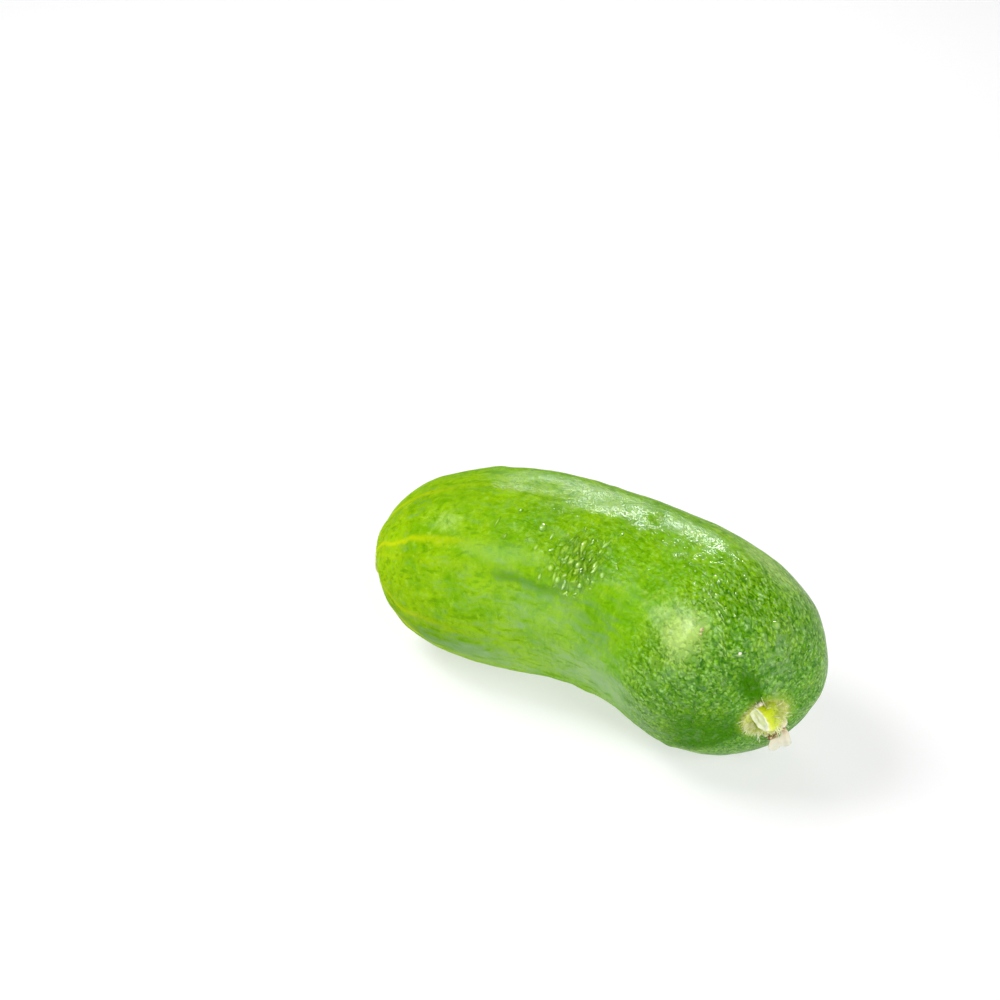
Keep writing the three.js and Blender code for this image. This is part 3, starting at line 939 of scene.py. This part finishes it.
# ---- The blossom scar ----

def make_scar():
    """A ragged-edged disc of dry cork with a pit in its middle."""
    radius, height, root = SCAR["radius"], SCAR["height"], SCAR["root"]
    profile = [(0, 0, -root), (radius * 0.6, 0, -root), (radius, 0, -root * 0.5), (radius, 0, 0)]
    for i in range(SCAR["steps"] + 1):
        share = 1 - i / SCAR["steps"]
        rise = SCAR_LIFT + height * (1 - share ** 8)
        for middle, depth, reach in SCAR_HOLLOWS:
            rise -= depth * math.exp(-((share - middle) / reach) ** 2)
        profile.append((radius * share, 0, rise))
    bm = spun(profile, SCAR["sides"], axis=(0, 0, 1))
    placing = bm.verts.layers.float_vector.new("scar_mm")
    for vert in bm.verts:
        turn = math.atan2(vert.co.y, vert.co.x)
        ragged = 1
        for closeness, depth, offset in SCAR_EDGE:
            there = Vector((math.cos(turn) * closeness, math.sin(turn) * closeness, offset))
            ragged += depth * noise.noise(there)
        vert.co.x *= ragged
        vert.co.y *= ragged
        vert.co.z += SCAR["roughness"] * noise.noise(vert.co / 0.9) * (vert.co.z > 0)
        vert[placing] = vert.co
    bmesh.ops.transform(bm, matrix=blossom_frame, verts=bm.verts)
    return finished(bm, "blossom_scar", scar_cork())


# ---- The stump of the stalk ----

def stub_ring(level):
    """Centre, facing and radius of the stump at a level, 0 at its root and 1 at the cut."""
    rest = 1 - level
    start, bend, end = STUB_PATH
    centre = start * rest * rest + bend * 2 * rest * level + end * level * level
    facing = UP.lerp(STUB_FACE.normalized(), smooth_step(0.15, 1.0, level)).normalized()
    return centre, facing, cubic(STUB_RADII, level)


def make_stub():
    """A short five-angled stump that bends to the left, with a dished, slanted cut face."""
    profile = [(0, 0, 0)]
    profile += [(1, 0, i / STUB_FLANK_STEPS) for i in range(STUB_FLANK_STEPS + 1)]
    profile += [(1 - i / STUB_FACE_STEPS, 0, 1 + i / STUB_FACE_STEPS) for i in range(1, STUB_FACE_STEPS + 1)]
    bm = spun(profile, STUB_SIDES, axis=(0, 0, 1))
    levels = bm.verts.layers.float.new("level")
    for vert in bm.verts:
        level = vert.co.z
        share = math.hypot(vert.co.x, vert.co.y)
        turn = math.atan2(vert.co.y, vert.co.x)
        centre, facing, radius = stub_ring(min(1.0, level))
        tilt = UP.rotation_difference(facing)
        angled = STUB_ANGLES["depth"] * (1.4 - min(1.0, level)) * math.cos(STUB_ANGLES["count"] * turn + 0.5)
        oval = math.hypot(math.cos(turn - STUB_OVAL["turn"]) / STUB_OVAL["longer"],
                          math.sin(turn - STUB_OVAL["turn"]) / STUB_OVAL["shorter"])
        reach = radius * share * (1 + angled) * (1 + (1 / oval - 1) * smooth_step(0.35, 1.0, level))
        point = centre + tilt @ Vector((math.cos(turn) * reach, math.sin(turn) * reach, 0))
        if level > 1:
            dish = STUB_DISH["depth"] * smooth_step(0.0, 0.5, level - 1)
            point -= facing * (dish - STUB_DISH["middle"] * smooth_step(0.5, 1.0, level - 1))
        point += facing * STUB_UNEVENNESS * noise.noise(point / 0.8)
        vert.co = point
        vert[levels] = level
    bmesh.ops.transform(bm, matrix=stem_frame, verts=bm.verts)
    return finished(bm, "cut_stalk", stalk_flesh(), replaced=("stem_stub",))


def hair_course(draw, turns, levels):
    """Where a hair starts on the stump, where it heads, and which way it droops."""
    turn = math.radians(draw.uniform(*turns))
    centre, facing, radius = stub_ring(draw.uniform(*levels))
    tilt = UP.rotation_difference(facing)
    outward = tilt @ Vector((math.cos(turn), math.sin(turn), 0))
    sideways = tilt @ Vector((-math.sin(turn), math.cos(turn), 0)) * draw.uniform(*HAIR_SIDEWAYS)
    course = (outward + sideways + facing * draw.uniform(*HAIR_OUTWARDS)).normalized()
    return centre + outward * radius * HAIR_ROOT, course, facing


def make_hairs():
    """Short fuzz and a few long bristles that stand out all round the stump and lie over the skin."""
    draw = random.Random(HAIR_SEED)
    bm = bmesh.new()
    drying = bm.verts.layers.float.new("dry")
    for count, turns, levels, typical, thickness, dry in HAIRS:
        curve = bpy.data.curves.new("hair_lines", "CURVE")
        curve.dimensions = "3D"
        curve.bevel_depth = 1.0
        curve.bevel_resolution = 0
        curve.use_fill_caps = True
        for _ in range(count):
            foot, course, facing = hair_course(draw, turns, levels)
            length = typical * draw.uniform(*HAIR_LENGTHS)
            droop = draw.uniform(*HAIR_DROOPS) * length
            spline = curve.splines.new("POLY")
            spline.points.add(HAIR_STEPS)
            for i in range(HAIR_STEPS + 1):
                share = i / HAIR_STEPS
                point = foot + course * length * share - facing * droop * share * share
                spline.points[i].co = (*point, 1.0)
                spline.points[i].radius = thickness * (1 - (1 - HAIR_TIP) * share)
        lines = bpy.data.objects.new("hair_lines", curve)
        bpy.context.scene.collection.objects.link(lines)
        first = len(bm.verts)
        bm.from_mesh(lines.to_mesh(depsgraph=bpy.context.evaluated_depsgraph_get()))
        bpy.data.objects.remove(lines)
        bm.verts.ensure_lookup_table()
        for vert in bm.verts[first:]:
            vert[drying] = dry
    bmesh.ops.remove_doubles(bm, verts=bm.verts, dist=1e-4)
    bmesh.ops.recalc_face_normals(bm, faces=bm.faces)
    bmesh.ops.transform(bm, matrix=stem_frame, verts=bm.verts)
    return finished(bm, "stalk_hairs", plant_hair())


# ---- The dry scrap ----

def scrap_point(across, upward):
    """The scrap's flat shape: two rounded lobes below, and a strip that climbs its right side."""
    outline = SCRAP_OUTLINE
    width = outline["half_width"] - outline["narrowing"] * max(0.0, upward)
    lower = outline["lower"] - outline["lobes"] * math.sqrt(abs(math.sin(math.pi * across)))
    upper = outline["upper"] + outline["strip"] * smooth_step(0.35, 0.9, across)
    upper += outline["raggedness"] * noise.noise(Vector((across * 4, 0, 7.0)))
    share = 0.5 + 0.5 * upward
    return Vector((across * width, lower + (upper - lower) * share, 0))


def make_scrap():
    """A thin curled film with a torn, two-lobed lower edge."""
    bm = bmesh.new()
    bmesh.ops.create_grid(bm, x_segments=SCRAP_SEGMENTS, y_segments=SCRAP_SEGMENTS, size=1)
    placing = bm.verts.layers.float_vector.new("flake_mm")
    for vert in bm.verts:
        flat = scrap_point(vert.co.x, vert.co.y)
        vert[placing] = flat
        x, y, _ = flat
        crease = sum(rise * math.exp(-((x - middle) / reach) ** 2) for middle, rise, reach in SCRAP_CREASES)
        uneven = SCRAP_UNEVENNESS * noise.noise(Vector((x, y * 0.7, 2.0)) / 0.9)
        vert.co = flat
        vert.co.z = SCRAP_CURL * (x * x + 0.5 * y * y) + crease + uneven
    bmesh.ops.recalc_face_normals(bm, faces=bm.faces)
    bmesh.ops.solidify(bm, geom=bm.faces[:], thickness=SCRAP["thickness"])
    placement = (stem_frame
                 @ Matrix.Translation((SCRAP["right"], -SCRAP["down"], SCRAP["out"]))
                 @ Matrix.Rotation(SCRAP["turn"], 4, "Z")
                 @ Matrix.Rotation(SCRAP["tip"], 4, "X"))
    bmesh.ops.transform(bm, matrix=placement, verts=bm.verts)
    return finished(bm, "papery_scrap", dry_membrane(), replaced=("stalk_scrap",))


def make_crumbs():
    """Shrivelled crumbs round the stump, brown by the scrap and cream elsewhere, and flecks on the skin."""
    draw = random.Random(CRUMB_SEED)
    bm = bmesh.new()
    withering = bm.verts.layers.float.new("withered")
    for count, middle, reaches, typical, withered in CRUMBS:
        for _ in range(count):
            made = bmesh.ops.create_icosphere(bm, subdivisions=2, radius=1)["verts"]
            lumps = Vector((draw.uniform(0, 9), 0, 3.0))
            for vert in made:
                vert.co *= 1 + CRUMB_LUMPS["depth"] * noise.noise(vert.co * CRUMB_LUMPS["closeness"] + lumps)
                vert[withering] = withered
            size = typical * draw.uniform(0.5, 1.1)
            shape = Matrix.Diagonal((size * draw.uniform(0.8, 1.6), size, size * 0.8, 1))
            offset = Vector([place + reach * draw.uniform(-1, 1) for place, reach in zip(middle, reaches)])
            turned = Matrix.Rotation(draw.uniform(0, math.pi), 4, Vector((draw.random(), draw.random(), 1)))
            placement = stem_frame @ Matrix.Translation(offset) @ turned @ shape
            bmesh.ops.transform(bm, matrix=placement, verts=made)
    for along, degrees, size, withered in FLECKS:
        made = bmesh.ops.create_icosphere(bm, subdivisions=2, radius=1)["verts"]
        for vert in made:
            vert[withering] = withered
        shape = Matrix.Diagonal((size, 0.7 * size, 0.7 * size, 1))
        bmesh.ops.transform(bm, matrix=on_dressed_skin(along, math.radians(degrees)) @ shape, verts=made)
    return finished(bm, "withered_crumbs", withered_tissue())


make_skin()
make_beads()
make_scar()
make_stub()
make_hairs()
make_scrap()
make_crumbs()


# ---- Table, light and camera ----

CAMERA_PLACE = Vector((0.15313, -0.24258, 0.20545))
CAMERA_AIM = Vector((-0.05608, 0.04538, -0.00005))
CAMERA_LENS = 65.1
CAMERA_FILM = 36.0

# What the lamps are aimed at.
LAMP_AIM = Vector((0, 0, 0.02))
# Each softbox's name, azimuth, elevation, distance, width, height and brightness, and whether the
# skin mirrors it. Those that it doesn't mirror light it instead.
SOFTBOXES = (
    ("back softbox", 3, 34.5, 0.7, 0.25, 0.09, 74.0, True),
    ("back wall glow", 3, 20, 0.9, 0.42, 0.28, 8.0, True),
    ("front softbox", -109, 47, 0.7, 0.20, 0.20, 20.0, True),
    ("side softbox", -130, 12, 0.7, 0.28, 0.20, 5.0, True),
    ("key softbox", -78, 53, 0.8, 0.35, 0.35, 10.8, False),
    ("fill softbox", 155, 36, 0.8, 0.35, 0.35, 6.5, False),
)


def aimed(place, aim):
    """A frame at a place whose -Z looks at the aim and whose Y is upright."""
    return Matrix.Translation(place) @ (aim - place).to_track_quat("-Z", "Y").to_matrix().to_4x4()


def room_direction(azimuth, elevation):
    """A direction in the room; azimuth 0 is straight behind the fruit, and positive to the right."""
    away = Vector((CAMERA_AIM.x - CAMERA_PLACE.x, CAMERA_AIM.y - CAMERA_PLACE.y, 0)).normalized()
    turn, rise = math.radians(azimuth), math.radians(elevation)
    level = away * math.cos(turn) + away.cross(UP) * math.sin(turn)
    return level * math.cos(rise) + UP * math.sin(rise)


def softbox(name, azimuth, elevation, distance, width, height, brightness, mirrored):
    """A rectangular softbox that either is mirrored in the skin or lights it."""
    place = room_direction(azimuth, elevation) * distance + LAMP_AIM
    light = bpy.data.lights.new(name, "AREA")
    light.shape = "RECTANGLE"
    light.size = width
    light.size_y = height
    light.energy = 4 * width * height * brightness
    box = bpy.data.objects.new(name, light)
    box.matrix_world = aimed(place, LAMP_AIM)
    box.visible_glossy = mirrored
    box.visible_diffuse = not mirrored
    bpy.context.scene.collection.objects.link(box)


def studio_world():
    """A white room whose walls are bright up to about 25 degrees and whose ceiling is dark."""
    world = bpy.data.worlds.new("studio")
    bpy.context.scene.world = world
    world.use_nodes = True
    tree = world.node_tree
    tree.nodes.clear()
    direction = add(tree, "ShaderNodeTexCoord").outputs["Generated"]
    height = add(tree, "ShaderNodeSeparateXYZ", {0: direction}).outputs["Z"]
    share = add(tree, "ShaderNodeMapRange", {"Value": height, "From Min": -1.0}).outputs["Result"]
    walls = add(tree, "ShaderNodeValToRGB", {"Fac": share}, stops=(
        (0.50, 0.95),
        (0.70, 0.80),
        (0.78, 0.15),
        (0.88, 0.03))).outputs["Color"]
    # The left of the room is dim.
    corner = add(tree, "ShaderNodeVectorMath", {0: direction, 1: room_direction(-68, 8)},
                 operation="DOT_PRODUCT").outputs["Value"]
    dimming = add(tree, "ShaderNodeMapRange", {"Value": corner, "From Min": 0.50, "From Max": 0.82,
                                               "To Min": 1.0, "To Max": 0.10},
                  interpolation_type="SMOOTHSTEP").outputs["Result"]
    background = add(tree, "ShaderNodeBackground", {"Color": walls, "Strength": dimming})
    add(tree, "ShaderNodeOutputWorld", {"Surface": background.outputs["Background"]})


def make_floor():
    """White seamless paper that glows a little, so that shadows on it stay pale."""
    material, tree = new_material("white paper")
    shader = add(tree, "ShaderNodeBsdfPrincipled", {
        "Base Color": linear("#a8a8a8"), "Roughness": 0.9,
        "Emission Color": (1, 1, 1, 1), "Emission Strength": 0.60})
    add(tree, "ShaderNodeOutputMaterial", {"Surface": shader.outputs["BSDF"]})
    bm = bmesh.new()
    bmesh.ops.create_grid(bm, x_segments=1, y_segments=1, size=3.0)
    mesh = bpy.data.meshes.new("paper_floor")
    bm.to_mesh(mesh)
    bm.free()
    mesh.materials.append(material)
    floor = bpy.data.objects.new("paper_floor", mesh)
    bpy.context.scene.collection.objects.link(floor)


def make_camera():
    lens = bpy.data.cameras.new("camera")
    lens.lens = CAMERA_LENS
    lens.sensor_width = CAMERA_FILM
    lens.clip_start = 0.01
    camera = bpy.data.objects.new("camera", lens)
    camera.matrix_world = aimed(CAMERA_PLACE, CAMERA_AIM)
    bpy.context.scene.collection.objects.link(camera)
    bpy.context.scene.camera = camera


make_floor()
studio_world()
for lamp in SOFTBOXES:
    softbox(*lamp)
make_camera()
bpy.context.scene.view_settings.view_transform = "Standard"
